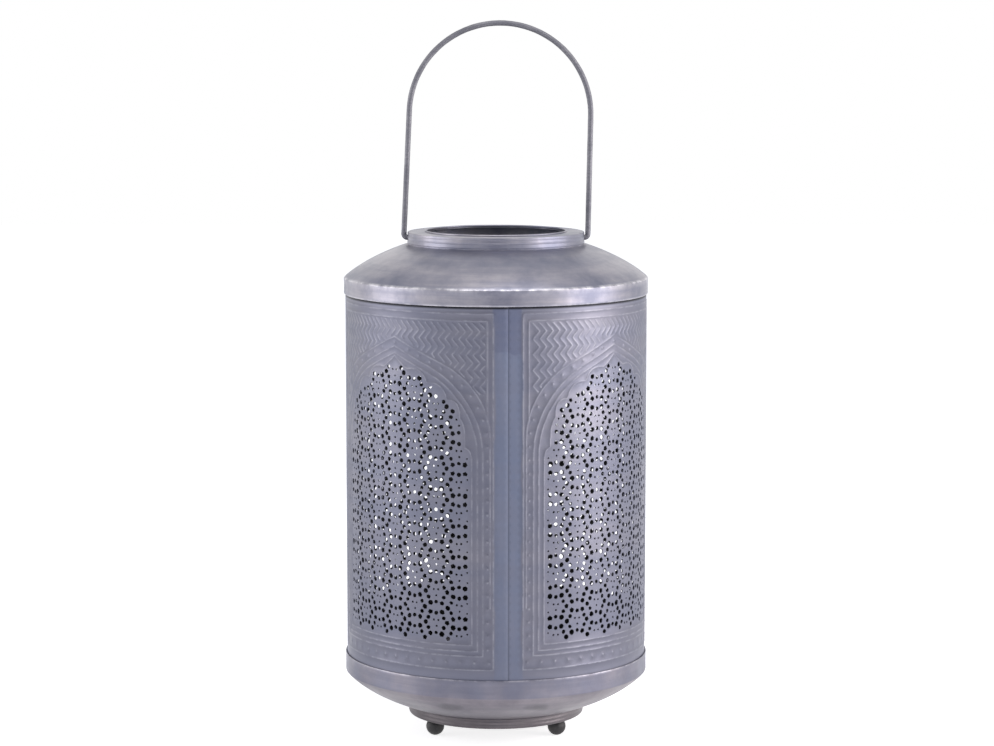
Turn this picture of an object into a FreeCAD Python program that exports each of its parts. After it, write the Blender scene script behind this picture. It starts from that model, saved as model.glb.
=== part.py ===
import FreeCAD, Part
import os
from math import asin, atan2, ceil, cos, degrees, hypot, pi, radians, sin, tan
from FreeCAD import Vector

# A tall pierced sheet-metal lantern that stands on the floor and holds one bulb.
# Four embossed and pierced panels make the round body. A spun shoulder caps them, a
# spun dish closes them below, and a bail handle swings in the neck. Millimetres, +Z up,
# origin on the floor at the middle of the three ball feet, front towards -Y.

# Feet and foot pan
FOOT_H = 18.0            # iron ball foot, brazed to the pan
FOOT_FLAT_D = 4.4        # flats of the ball, on the floor and under the pan
FOOT_BANDS = 5
FOOT_INSET = 17.7        # from the pan's wall in to the ball centres
FOOT_ANGLES = (-150, -30, 90)  # two feet in front, one behind
PAN_R = 87.3             # spun foot pan
PAN_H = 7.4              # from its flat to the underside of the dish

# Spun shells
SHELL_T = 1.2            # sheet of the dish, pan, shoulder and neck
SPUN_BANDS = 2           # straight bands that follow each spun curve
RIM_GAP = 0.6            # between the panels and the rims of the dish and the shoulder
DISH_FLOOR_R = 80.6
DISH_H = 36.6            # floor of the dish to its crease
DISH_PULL = (20.4, 15.3)      # control point of the dish curve, in from its rim and up from its floor
BASE_RIM_H = 18.3
TOP_RIM_H = 15.5
SHOULDER_H = 33.1        # crease of the shoulder to the neck
SHOULDER_PULL = (26.3, 24.8)  # control point of the shoulder curve, in from its rim and up from its crease

# Neck
NECK_R = 87.0
NECK_H = 11.5
NECK_TUCK = 2.0          # how far the neck reaches down inside the shoulder
MOUTH_R = 68.3           # clear opening
MOUTH_EDGE_H = 1.7       # turned-up edge of the mouth

# Body panels
BODY_R = 148.6
BODY_H = 391.7           # from the dish's crease to the shoulder's crease
PANEL_T = 1.0
PANELS = {"body_panel_front_left": -40.5, "body_panel_front_right": 49.5,
          "body_panel_rear_right": 139.5, "body_panel_rear_left": 229.5}
LAP_W = 9.0              # joggled flange that reaches behind the next panel
JOGGLE_W = 1.5
SEAM_GAP = 0.4

# Pierced field of a panel, in millimetres along the sheet
FIELD_FOOT_H = 55.5      # above the dish's crease
FIELD_MARGIN = 37.2      # between the field and the seam
ARCH_R = 72.0            # haunch of the keel arch
ARCH_SLOPE = 25.0        # degrees, from the haunch up to the point
ARCH_POINT_DROP = 69.7   # the arch's point below the shoulder's crease
ROSETTE_PITCH_S = 23.4   # between columns of rosettes
ROSETTE_PITCH_Z = 29.8   # between rosettes in a column
ROSETTE_H = 151.0        # from the field's foot to a rosette of the middle column
LOZENGE_HALF = (6.4, 7.6)     # opening at a rosette, half width and half height
DROP_HALF = (3.2, 3.6)   # small opening between two rosettes
WEB_MIN = 1.2            # sheet left between an opening and the edge of the field

# Bail handle
BAIL_D = 5.4             # forged bar, across its flats
BAIL_SIDES = 8
BAIL_RISE = 212.5        # pivot to the top of the crown
BAIL_CROWN_R = 89.0      # middle of the bar
BAIL_LEAN = 4.0          # crown stands this far to the right, as hand bent
BAIL_BEND_INNER_R = 0.8
BAIL_HEAD_D = 8.4        # upset end inside the neck
BAIL_HEAD_T = 1.8
BAIL_PLAY = 0.55         # radial, in the neck's holes
BAIL_END_PLAY = 0.5      # between the upset end and the neck's wall
BAIL_HEAD_ROOM = 0.4     # between the upset end and the neck's flat top

# Lampholder and bulb
NIPPLE_D = 10.0
NIPPLE_BORE_D = 7.0
NIPPLE_CLEAR = 1.2       # between its tail and the pan
NIPPLE_GRIP = 12.0       # up into the lampholder
NIPPLE_NUT_ACROSS = 14.0
NIPPLE_NUT_H = 4.0
HOLDER_D = 39.0
HOLDER_BOSS_D = 22.0
HOLDER_BOSS_H = 8.0
HOLDER_BASE_H = 26.0
HOLDER_SLEEVE_H = 30.0
HOLDER_WALL = 1.8
INSERT_H = 9.0
SOCKET_D = 27.4          # inside of the brass thread sleeve
SOCKET_T = 0.5
SOCKET_H = 20.0
CONTACT_W = 5.0          # bent strip under the cap's tip
CONTACT_L = 12.0
CONTACT_RISE = 1.8
CONTACT_T = 0.6
CAP_PLAY = 0.5           # of the bulb's screw cap in the thread sleeve, radial
CAP_H = 24.0
CAP_TIP_D = 11.0
CAP_TIP_H = 3.0
BULB_D = 30.0            # tubular glass
BULB_H = 95.0            # glass above the cap
BULB_END_H = 12.0        # taper of its closed end

# Cable inlet behind
INLET_BORE_D = 6.6
INLET_NECK_D = 10.0
INLET_FLANGE_D = 15.0
INLET_FLANGE_T = 2.5

# Clearances
FIT = 0.1                # pieces soldered or clamped together
SLACK = 0.3              # loose pieces

rim_r = BODY_R + RIM_GAP + SHELL_T
foot_circle_r = PAN_R - FOOT_INSET
floor_z = FOOT_H + PAN_H
crease_z = floor_z + DISH_H
shoulder_z = crease_z + BODY_H
neck_z = shoulder_z + SHOULDER_H
lip_z = neck_z + NECK_H
pivot_z = lip_z - SHELL_T - BAIL_HEAD_ROOM - BAIL_HEAD_D / 2


def polar(radius, degrees, z=0.0):
    return Vector(radius * cos(radians(degrees)), radius * sin(radians(degrees)), z)


def spun_curve(start, pull, end):
    """Points of a spun curve that leaves start and reaches end, drawn towards pull."""
    points = []
    for step in range(SPUN_BANDS + 1):
        t = step / SPUN_BANDS
        points.append(tuple((1 - t) ** 2 * a + 2 * t * (1 - t) * b + t * t * c
                            for a, b, c in zip(start, pull, end)))
    return points


def offset(points, distance):
    """The same open outline, moved to the left of its direction with mitred corners."""
    moved = []
    for i, (x, y) in enumerate(points):
        before = points[i - 1] if i else None
        after = points[i + 1] if i + 1 < len(points) else None
        normals = []
        for (ax, ay), (bx, by) in ([(before, (x, y))] if before else []) + (
                [((x, y), after)] if after else []):
            length = hypot(bx - ax, by - ay)
            normals.append(((ay - by) / length, (bx - ax) / length))
        nx = sum(n[0] for n in normals) / len(normals)
        ny = sum(n[1] for n in normals) / len(normals)
        stretch = distance / (nx * nx + ny * ny)
        moved.append((x + nx * stretch, y + ny * stretch))
    return moved


def height_at(points, radius):
    """Height of an outline where it crosses a radius."""
    for (ra, za), (rb, zb) in zip(points, points[1:]):
        if ra != rb and min(ra, rb) <= radius <= max(ra, rb):
            return za + (zb - za) * (radius - ra) / (rb - ra)
    raise ValueError("the outline doesn't reach that radius")


def turned(outline):
    """Solid of revolution of a closed outline of (radius, height) points."""
    corners = [Vector(r, 0, z) for r, z in outline]
    face = Part.Face(Part.makePolygon(corners + corners[:1]))
    return face.revolve(Vector(), Vector(0, 0, 1), 360)


def spun(points):
    """Sheet of even thickness, spun to a line of its outer side."""
    return turned(points + offset(points, SHELL_T)[::-1])


def tube(outer_d, inner_d, low, high):
    return turned([(inner_d / 2, low), (outer_d / 2, low), (outer_d / 2, high), (inner_d / 2, high)])


def hex_nut(across, height, bore_d, at):
    corner = across / 2 / cos(pi / 6)
    ring = [at + polar(corner, 60 * k + 30) for k in range(6)]
    nut = Part.Face(Part.makePolygon(ring + ring[:1])).extrude(Vector(0, 0, height))
    return nut.cut(Part.makeCylinder(bore_d / 2, height, at))


# ---- spun shells -------------------------------------------------------------------

nipple_hole_r = NIPPLE_D / 2 + FIT
dish_line = [(nipple_hole_r, floor_z)] + spun_curve(
    (DISH_FLOOR_R, floor_z), (rim_r - DISH_PULL[0], floor_z + DISH_PULL[1]), (rim_r, crease_z)
) + [(rim_r, crease_z + BASE_RIM_H)]
shoulder_line = [(rim_r, shoulder_z - TOP_RIM_H)] + spun_curve(
    (rim_r, shoulder_z), (rim_r - SHOULDER_PULL[0], shoulder_z + SHOULDER_PULL[1]), (NECK_R, neck_z))
neck_line = [(NECK_R, neck_z - NECK_TUCK), (NECK_R, lip_z),
             (MOUTH_R + SHELL_T, lip_z), (MOUTH_R + SHELL_T, lip_z + MOUTH_EDGE_H)]
pan_line = [(0, FOOT_H), (PAN_R, FOOT_H), (PAN_R, height_at(dish_line, PAN_R - SHELL_T) - FIT)]


def inlet_frame():
    """Middle of the dish's free first band behind, and the way the cable bushing points there."""
    low, high = dish_line[1], dish_line[2]
    slope = atan2(high[1] - low[1], high[0] - low[0])
    radius = (max(PAN_R, low[0]) + high[0]) / 2
    return Vector(0, radius, height_at(dish_line, radius)), Vector(0, sin(slope), -cos(slope))


def base_dish():
    seat, out = inlet_frame()
    hole = Part.makeCylinder(INLET_NECK_D / 2 + FIT, 4 * SHELL_T, seat - out * 2 * SHELL_T, out)
    return spun(dish_line).cut(hole)


def cable_bushing():
    """Flanged bushing, flange outside, its neck through the sheet of the dish."""
    seat, out = inlet_frame()
    neck_h = SHELL_T + INLET_FLANGE_T
    body = Part.makeCylinder(INLET_NECK_D / 2, neck_h, seat - out * neck_h, out)
    body = body.fuse(Part.makeCylinder(INLET_FLANGE_D / 2, INLET_FLANGE_T, seat + out * SLACK, out))
    body = body.fuse(Part.makeCylinder(INLET_NECK_D / 2, SLACK + FIT, seat, out))
    bore = Part.makeCylinder(INLET_BORE_D / 2, 4 * neck_h, seat - out * 2 * neck_h, out)
    return body.cut(bore).removeSplitter()


def shoulder():
    """Spun cap of the body, its mouth opened to take the neck."""
    return spun(shoulder_line).cut(Part.makeCylinder(NECK_R + FIT, lip_z))


def neck_collar():
    """Neck of the lantern: low wall, flat top and turned-up mouth, drilled for the bail."""
    hole = Part.makeCylinder(BAIL_D / 2 + BAIL_PLAY, 4 * NECK_R, Vector(-2 * NECK_R, 0, pivot_z), Vector(1, 0, 0))
    return spun(neck_line).cut(hole)


# ---- feet --------------------------------------------------------------------------

def foot_pan():
    return spun(pan_line)


def ball_feet():
    """Turned balls, with a flat to stand on and one where they are brazed to the pan."""
    flat = asin(FOOT_FLAT_D / FOOT_H)
    radius = FOOT_H / 2 / cos(flat)
    outline = [(0, 0)]
    for step in range(FOOT_BANDS + 1):
        angle = flat + (pi - 2 * flat) * step / FOOT_BANDS
        outline.append((radius * sin(angle), FOOT_H / 2 - radius * cos(angle)))
    ball = turned(outline + [(0, FOOT_H)])
    return Part.makeCompound([ball.translated(polar(foot_circle_r, angle)) for angle in FOOT_ANGLES])


# ---- body panels -------------------------------------------------------------------

field_half_w = BODY_R * pi / 4 - FIELD_MARGIN
field_foot_z = crease_z + FIELD_FOOT_H
arch_point_z = shoulder_z - ARCH_POINT_DROP
rosette_z = field_foot_z + ROSETTE_H


def arch_height(s):
    """Height of the keel arch over the pierced field, s along the sheet from its middle."""
    slope = radians(ARCH_SLOPE)
    haunch_s = field_half_w - ARCH_R
    turn_s = haunch_s + ARCH_R * sin(slope)
    s = abs(s)
    if s <= turn_s:
        return arch_point_z - s * tan(slope)
    spring_z = arch_point_z - turn_s * tan(slope) - ARCH_R * cos(slope)
    return spring_z + (ARCH_R ** 2 - (s - haunch_s) ** 2) ** 0.5


def inside_field(s, z, half):
    """True where an opening of that half width and height keeps its web to the field's edge."""
    across, up = half[0] + WEB_MIN, half[1] + WEB_MIN
    if abs(s) + across > field_half_w or z - up < field_foot_z:
        return False
    return z + up < arch_height(s) and z < arch_height(abs(s) + across)


def openings():
    """Centre, half size and corner count of each opening, on the lattice of rosettes."""
    found = []
    columns = ceil(field_half_w / ROSETTE_PITCH_S)
    rows = ceil(BODY_H / ROSETTE_PITCH_Z)
    for column in range(-columns, columns + 1):
        for row in range(-rows, rows + 1):
            s = column * ROSETTE_PITCH_S
            z = rosette_z + (row + column % 2 / 2) * ROSETTE_PITCH_Z
            for rise, half, corners in ((0, LOZENGE_HALF, 4), (ROSETTE_PITCH_Z / 2, DROP_HALF, 3)):
                if inside_field(s, z + rise, half):
                    found.append((s, z + rise, half, corners))
    return found


def cutter(s, z, half, corners):
    """Radial cutter for one opening, with free-form sides so that each edge stays one curve."""
    ring = []
    for k in range(corners):
        turn = pi / 2 + 2 * pi * k / corners
        ring.append(Vector(half[0] * cos(turn), 0, z + half[1] * sin(turn)))
    block = Part.Face(Part.makePolygon(ring + ring[:1])).extrude(Vector(0, 4 * PANEL_T, 0))
    block.translate(Vector(0, -BODY_R - 2 * PANEL_T, 0))
    block.rotate(Vector(), Vector(0, 0, 1), s / BODY_R * 180 / pi)
    return block.toNurbs()


def panel():
    """One quarter of the body, its middle towards -Y, its joggled flange on the +X side."""
    outer, inner = BODY_R, BODY_R - PANEL_T
    lap_outer = inner - FIT
    lap_inner = lap_outer - PANEL_T
    per_mm = 180 / pi / BODY_R
    edge = 45 - SEAM_GAP / 2 * per_mm
    step, lap = edge - JOGGLE_W * per_mm, 45 + LAP_W * per_mm

    def arc(radius, start, end):
        return Part.Arc(*(polar(radius, a - 90) for a in (start, (start + end) / 2, end))).toShape()

    def side(angle, start, end):
        return Part.makeLine(polar(start, angle - 90), polar(end, angle - 90))

    outline = Part.Wire([
        arc(outer, -edge, edge), side(edge, outer, lap_outer), arc(lap_outer, edge, lap),
        side(lap, lap_outer, lap_inner), arc(lap_inner, lap, step), side(step, lap_inner, inner),
        arc(inner, step, -edge), side(-edge, inner, outer)])
    foot = height_at(offset(dish_line, SHELL_T), BODY_R) + FIT
    head = height_at(offset(shoulder_line, SHELL_T), BODY_R) - FIT
    sheet = Part.Face(outline).extrude(Vector(0, 0, head - foot))
    sheet.translate(Vector(0, 0, foot))
    return sheet.cut(Part.makeCompound([cutter(*opening) for opening in openings()]))


# ---- bail handle -------------------------------------------------------------------

bend_r = BAIL_BEND_INNER_R + BAIL_D / 2
crown = Vector(BAIL_LEAN, 0, pivot_z + BAIL_RISE - BAIL_D / 2 - BAIL_CROWN_R)


def bail_side(side):
    """Middle of the bend at the neck, and how far the crown's arc turns to its leg, in degrees."""
    bend = Vector(side * (NECK_R + FIT), 0, pivot_z + bend_r)
    across = side * (bend.x - crown.x), crown.z - bend.z
    turn = atan2(across[1], across[0]) + asin((BAIL_CROWN_R - bend_r) / hypot(*across))
    return bend, side * degrees(turn)


def bar_section(middle, radius, turn):
    """Octagon of the bar where it runs round a middle, at a turn in degrees from its top."""
    out = Vector(sin(radians(turn)), 0, cos(radians(turn)))
    corner = BAIL_D / 2 / cos(pi / BAIL_SIDES)
    ring = []
    for k in range(BAIL_SIDES):
        angle = (k + 0.5) * 2 * pi / BAIL_SIDES
        ring.append(middle + out * (radius + corner * cos(angle)) + Vector(0, corner * sin(angle), 0))
    return Part.Face(Part.makePolygon(ring + ring[:1]))


def bail_handle():
    """Octagonal bar bent to a tall arch, its ends turned in through the neck and upset."""
    across = Vector(0, 1, 0)
    ends = bail_side(-1)[1], bail_side(1)[1]
    bar = bar_section(crown, BAIL_CROWN_R, ends[0]).revolve(crown, across, ends[1] - ends[0])
    wall = NECK_R - SHELL_T - BAIL_END_PLAY
    for side in (-1, 1):
        bend, turn = bail_side(side)
        out = Vector(sin(radians(turn)), 0, cos(radians(turn)))
        leg = crown + out * BAIL_CROWN_R - bend - out * bend_r
        inward = Vector(-side, 0, 0)
        start = bend - Vector(0, 0, bend_r)
        bar = bar.fuse([
            bar_section(bend, bend_r, turn).extrude(leg),
            bar_section(bend, bend_r, side * 180).revolve(bend, across, turn - side * 180),
            Part.makeCylinder(BAIL_D / 2, abs(start.x) - wall + BAIL_HEAD_T, start, inward),
            Part.makeCylinder(BAIL_HEAD_D / 2, BAIL_HEAD_T, Vector(side * wall, 0, pivot_z), inward)])
    return bar.removeSplitter()


# ---- lampholder and bulb -----------------------------------------------------------

seat_z = floor_z + SHELL_T
insert_z = seat_z + HOLDER_BASE_H
socket_z = insert_z + INSERT_H


def threaded_nipple():
    return tube(NIPPLE_D, NIPPLE_BORE_D, FOOT_H + SHELL_T + NIPPLE_CLEAR, seat_z + NIPPLE_GRIP)


def nipple_nut():
    return hex_nut(NIPPLE_NUT_ACROSS, NIPPLE_NUT_H, NIPPLE_D + 2 * FIT,
                   Vector(0, 0, floor_z - NIPPLE_NUT_H))


def lampholder_base():
    """Lower half of the lampholder, its boss screwed down on the nipple."""
    bore, outer, step = NIPPLE_D / 2 + FIT, HOLDER_D / 2, seat_z + HOLDER_BOSS_H
    return turned([(bore, seat_z), (HOLDER_BOSS_D / 2, seat_z), (HOLDER_BOSS_D / 2, step),
                   (outer, step), (outer, insert_z), (bore, insert_z)])


def lampholder_insert():
    """Insulating block that carries the contacts."""
    half = (HOLDER_D / 2 - HOLDER_WALL - FIT) * cos(pi / 4)
    return Part.makeBox(2 * half, 2 * half, INSERT_H, Vector(-half, -half, insert_z))


def lampholder_sleeve():
    return tube(HOLDER_D, HOLDER_D - 2 * HOLDER_WALL, insert_z, insert_z + HOLDER_SLEEVE_H)


def socket_sleeve():
    return tube(SOCKET_D + 2 * SOCKET_T, SOCKET_D, socket_z, socket_z + SOCKET_H)


def centre_contact():
    """Bent strip that presses on the tip of the bulb's cap."""
    third = CONTACT_L / 3
    line = [(-2 * third, 0), (-third, 0), (0, CONTACT_RISE), (third, CONTACT_RISE)]
    ring = [Vector(x, -CONTACT_W / 2, socket_z + z) for x, z in line + offset(line, CONTACT_T)[::-1]]
    return Part.Face(Part.makePolygon(ring + ring[:1])).extrude(Vector(0, CONTACT_W, 0))


cap_z = socket_z + CONTACT_RISE + CONTACT_T + SLACK


def bulb_cap():
    """Screw cap: tip contact and threaded barrel."""
    step, radius = cap_z + CAP_TIP_H, SOCKET_D / 2 - CAP_PLAY
    return turned([(0, cap_z), (CAP_TIP_D / 2, cap_z), (CAP_TIP_D / 2, step), (radius, step),
                   (radius, cap_z + CAP_H), (0, cap_z + CAP_H)])


def bulb_glass():
    base, r = cap_z + CAP_H, BULB_D / 2
    return turned([(0, base), (r, base), (r, base + BULB_H - BULB_END_H),
                   (r / 2, base + BULB_H), (0, base + BULB_H)])


def main():
    os.makedirs("parts", exist_ok=True)
    pieces = {
        "foot_pan": foot_pan(), "ball_feet": ball_feet(),
        "base_dish": base_dish(), "cable_bushing": cable_bushing(),
        "shoulder": shoulder(), "neck_collar": neck_collar(),
        "bail_handle": bail_handle(),
        "threaded_nipple": threaded_nipple(), "nipple_nut": nipple_nut(),
        "lampholder_base": lampholder_base(), "lampholder_insert": lampholder_insert(),
        "lampholder_sleeve": lampholder_sleeve(), "socket_sleeve": socket_sleeve(),
        "centre_contact": centre_contact(), "bulb_cap": bulb_cap(), "bulb_glass": bulb_glass(),
    }
    quarter = panel()
    for name, turn in PANELS.items():
        pieces[name] = quarter.rotated(Vector(), Vector(0, 0, 1), turn)
    for name, shape in pieces.items():
        if not shape.isValid():
            raise ValueError(name + " isn't a valid solid")
        shape.exportStep("parts/" + name + ".step")
        print(name, len(shape.Solids), round(shape.Volume))


main()
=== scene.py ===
import math
import random
import bpy
import numpy as np
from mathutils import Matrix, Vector
from mathutils.geometry import delaunay_2d_cdt


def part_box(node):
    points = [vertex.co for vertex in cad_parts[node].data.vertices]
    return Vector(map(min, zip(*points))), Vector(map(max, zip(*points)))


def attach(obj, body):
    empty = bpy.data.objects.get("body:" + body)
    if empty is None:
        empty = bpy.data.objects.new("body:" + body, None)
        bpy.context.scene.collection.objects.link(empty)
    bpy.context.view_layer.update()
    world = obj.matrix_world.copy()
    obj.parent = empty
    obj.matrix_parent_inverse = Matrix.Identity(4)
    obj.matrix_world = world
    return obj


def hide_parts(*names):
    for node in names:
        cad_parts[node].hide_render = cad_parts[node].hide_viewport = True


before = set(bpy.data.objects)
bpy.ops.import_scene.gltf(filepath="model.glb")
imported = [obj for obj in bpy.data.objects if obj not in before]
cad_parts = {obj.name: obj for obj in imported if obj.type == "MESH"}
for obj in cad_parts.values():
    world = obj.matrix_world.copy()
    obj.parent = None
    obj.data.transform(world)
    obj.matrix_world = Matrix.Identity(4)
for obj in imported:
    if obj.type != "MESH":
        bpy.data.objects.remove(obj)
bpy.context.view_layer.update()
bpy.context.scene.view_settings.view_transform = "Standard"
mm = 0.001  # the tables below are in millimetres


# a constant goes on the socket itself, anything else is linked to it
def feed(tree, socket, value):
    if isinstance(value, tuple):
        socket.default_value = (*value, 1)[:len(socket.default_value)]
    elif isinstance(value, (int, float)):
        socket.default_value = value
    else:
        tree.links.new(value, socket)


def addNode(tree, kind, group=None, **values):
    node = tree.nodes.new("ShaderNode" + kind)
    if group:
        node.node_tree = group
    for label, value in values.items():
        feed(tree, node.inputs[label.replace("_", " ")], value)
    return node


def mathNode(tree, operation, a, b=None, clamp=False):
    node = addNode(tree, "Math")
    node.operation, node.use_clamp = operation, clamp
    feed(tree, node.inputs[0], a)
    if b is not None:
        feed(tree, node.inputs[1], b)
    return node.outputs[0]


def product(tree, a, b):
    return mathNode(tree, "MULTIPLY", a, b)


def rangeNode(tree, value, low, high, toLow=0.0, toHigh=1.0):
    return addNode(tree, "MapRange", Value=value, From_Min=low, From_Max=high,
                   To_Min=toLow, To_Max=toHigh).outputs[0]


def noiseNode(tree, vector, scale, detail, roughness=0.55):
    return addNode(tree, "TexNoise", Vector=vector, Scale=scale, Detail=detail,
                   Roughness=roughness).outputs["Fac"]


def mixColor(tree, factor, a, b):
    node = addNode(tree, "Mix")
    node.data_type = "RGBA"
    for number, value in ((0, factor), (6, a), (7, b)):
        feed(tree, node.inputs[number], value)
    return node.outputs[2]


def objectPlace(tree):
    return addNode(tree, "TexCoord").outputs["Object"]


def addObject(name, data):
    made = bpy.data.objects.new(name, data)
    bpy.context.scene.collection.objects.link(made)
    return made


# camera, floor and studio light
shot = {"place": (0, -2.959, 0.7174), "tiltDown": 6.93, "lens": 108.94, "sensor": 36,
        "shiftX": 0.0011, "clipEnd": 50}
studio = {
    "floorSize": 14, "boxAim": (0, 0, 0.3), "floorColor": (0.86, 0.86, 0.86), "floorLift": 0.78,
    "ambient": (0.80, 0.84, 0.95), "ambientLevel": 0.42,
    "boxes": [  # name, azimuth from the camera, height, distance, its width, its height, watts, color
        ("softboxRight", 74, 0.75, 2.1, 1.5, 1.8, 36, (1.0, 0.94, 0.92)),
        ("softboxLeft", -84, 0.70, 2.2, 1.4, 1.7, 17, (1.0, 0.97, 0.97)),
        ("softboxTop", 20, 2.3, 0.7, 1.4, 1.4, 13, (1.0, 0.99, 1.0)),
    ],
    "flag": {"width": 1.5, "height": 2.6, "y": -3.4, "z": 0.9, "color": (0.17, 0.20, 0.34)},
}


def makeCamera():
    data = bpy.data.cameras.new("camera")
    data.sensor_width, data.lens, data.shift_x = shot["sensor"], shot["lens"], shot["shiftX"]
    data.clip_end = shot["clipEnd"]
    camera = addObject("camera", data)
    camera.location = shot["place"]
    camera.rotation_euler = (math.radians(90 - shot["tiltDown"]), 0, 0)
    bpy.context.scene.camera = camera


# one for a ray from the camera, or off or through something shiny
def seenByEye(tree):
    path = addNode(tree, "LightPath").outputs
    first = mathNode(tree, "MAXIMUM", path["Is Camera Ray"], path["Is Glossy Ray"])
    return mathNode(tree, "MAXIMUM", first, path["Is Transmission Ray"])


def emptyTree(owner):
    owner.use_nodes = True
    owner.node_tree.nodes.clear()
    return owner.node_tree


# a flat card with an empty material
def makeCard(name, look, corners):
    data = bpy.data.meshes.new(name)
    data.from_pydata(corners, [], [(0, 1, 2, 3)])
    data.materials.append(bpy.data.materials.new(look))
    return addObject(name, data), emptyTree(data.materials[0])


def makeStage():
    square = ((-1, -1), (1, -1), (1, 1), (-1, 1))
    size = studio["floorSize"] / 2
    floor, tree = makeCard("floor", "paleFloor", [(size * x, size * y, 0) for x, y in square])
    paper = addNode(tree, "BsdfDiffuse", Color=studio["floorColor"])
    glow = addNode(tree, "Emission", Color=(1, 1, 1),
                   Strength=product(tree, seenByEye(tree), studio["floorLift"]))
    both = addNode(tree, "AddShader")
    tree.links.new(paper.outputs[0], both.inputs[0])
    tree.links.new(glow.outputs[0], both.inputs[1])
    addNode(tree, "OutputMaterial", Surface=both.outputs[0])

    world = bpy.data.worlds.new("studio")
    bpy.context.scene.world = world
    tree = emptyTree(world)
    room = addNode(tree, "Background", Color=studio["ambient"], Strength=studio["ambientLevel"])
    white = addNode(tree, "Background", Color=(1, 1, 1))
    mix = addNode(tree, "MixShader")
    for number, value in enumerate((seenByEye(tree), room.outputs[0], white.outputs[0])):
        tree.links.new(value, mix.inputs[number])
    addNode(tree, "OutputWorld", Surface=mix.outputs[0])

    for name, azimuth, height, distance, wide, tall, watts, color in studio["boxes"]:
        lamp = bpy.data.lights.new(name, "AREA")
        lamp.shape, lamp.size, lamp.size_y = "RECTANGLE", wide, tall
        lamp.energy, lamp.color = watts, color
        box = addObject(name, lamp)
        angle = math.radians(azimuth)
        box.location = (distance * math.sin(angle), -distance * math.cos(angle), height)
        aim = Vector(studio["boxAim"]) - box.location
        box.rotation_euler = aim.to_track_quat("-Z", "Y").to_euler()

    flag = studio["flag"]
    wide, tall = flag["width"] / 2, flag["height"] / 2
    card, tree = makeCard("darkFlag", "darkCloth",
                          [(wide * x, flag["y"], flag["z"] + tall * z) for x, z in square])
    card.visible_camera = card.visible_diffuse = card.visible_shadow = False
    dark = addNode(tree, "Emission", Color=flag["color"])
    addNode(tree, "OutputMaterial", Surface=dark.outputs[0])


makeCamera()
makeStage()
print("camera, floor and lights are in place")


# shader groups and metals
def newGroup(name, inputs, outputs):
    tree = bpy.data.node_groups.new(name, "ShaderNodeTree")
    for label, value in inputs.items():
        tree.interface.new_socket(name=label, in_out="INPUT",
                                  socket_type="NodeSocketFloat").default_value = value
    for label in outputs:
        tree.interface.new_socket(name=label, in_out="OUTPUT", socket_type="NodeSocketFloat")
    return tree, tree.nodes.new("NodeGroupInput"), tree.nodes.new("NodeGroupOutput")


# noises as scale, detail and roughness, spreads as low and high
patina = {"cloud": (6, 0.62), "streak": (5, 0.6), "pit": (520, 3, 0.5), "flatten": (1, 1, 22),
          "spread": (0.36, 0.64), "streakHeight": 0.16, "pitHeight": 0.05}
# ranges for patchy rubbed edges with painted highlights, and for hollows with painted shade
wearAndPaintedLightRanges = {"patches": (90, 5, 0.65), "patchSpread": (0.40, 0.60, 0.10, 1.0), "ridge": (0.52, 0.58),
        "hollow": (0.49, 0.44), "hollowAmount": 0.6}


# cloudy tone, horizontal streaks and fine pitting of aged sheet metal
def makePatinaGroup():
    tree, start, end = newGroup("agedSheet", {"Cloud Scale": 14.0, "Streak Scale": 5.0},
                                ("Cloud", "Streak", "Height"))
    where = objectPlace(tree)
    cloud = noiseNode(tree, where, start.outputs["Cloud Scale"], *patina["cloud"])
    flat = addNode(tree, "Mapping", Vector=where, Scale=patina["flatten"])
    streak = noiseNode(tree, flat.outputs[0], start.outputs["Streak Scale"], *patina["streak"])
    pit = noiseNode(tree, where, *patina["pit"])
    tree.links.new(rangeNode(tree, cloud, *patina["spread"]), end.inputs["Cloud"])
    tree.links.new(rangeNode(tree, streak, *patina["spread"]), end.inputs["Streak"])
    height = mathNode(tree, "ADD", cloud, product(tree, streak, patina["streakHeight"]))
    height = mathNode(tree, "ADD", height, product(tree, pit, patina["pitHeight"]))
    tree.links.new(height, end.inputs["Height"])
    return tree


# bright rubbed edges with painted highlights, soft dirt with painted shade beside raised lines and in
# hollows, and dark joint grime with a painted shadow under the shoulder's rim:
# the made pieces carry these in their relief, and curvature adds what the shape itself asks for
def makeWearAndPaintedLightGroup():
    tree, start, end = newGroup("rubbedEdges", {"Edge Amount": 0.6}, ("Edge", "Dirt", "Grime And Shadow"))
    bend = addNode(tree, "NewGeometry").outputs["Pointiness"]
    mark = addNode(tree, "Attribute")
    mark.attribute_name = "relief"
    rubbed, dirtyAndShaded, grimyAndShaded = addNode(tree, "SeparateXYZ", Vector=mark.outputs["Vector"]).outputs
    noise = noiseNode(tree, objectPlace(tree), *wearAndPaintedLightRanges["patches"])
    patchy = rangeNode(tree, noise, *wearAndPaintedLightRanges["patchSpread"])
    # convex edges lighter: rubbed wear and a painted highlight
    edge = product(tree, rangeNode(tree, bend, *wearAndPaintedLightRanges["ridge"]), start.outputs["Edge Amount"])
    edge = mathNode(tree, "MAXIMUM", edge, rubbed)
    tree.links.new(mathNode(tree, "MULTIPLY", edge, patchy, True), end.inputs["Edge"])
    # hollows darker: dirt and painted shade
    hollow = product(tree, rangeNode(tree, bend, *wearAndPaintedLightRanges["hollow"]), wearAndPaintedLightRanges["hollowAmount"])
    tree.links.new(mathNode(tree, "MAXIMUM", hollow, dirtyAndShaded), end.inputs["Dirt"])
    tree.links.new(grimyAndShaded, end.inputs["Grime And Shadow"])
    return tree


patinaGroup, wearAndPaintedLightGroup = makePatinaGroup(), makeWearAndPaintedLightGroup()

# fields: base tone, cloud and streak tones, colour of rubbed wear and painted highlights, colour of
# dirt and painted shade, roughness, metalness, noise scales, bump and edge amount
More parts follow.
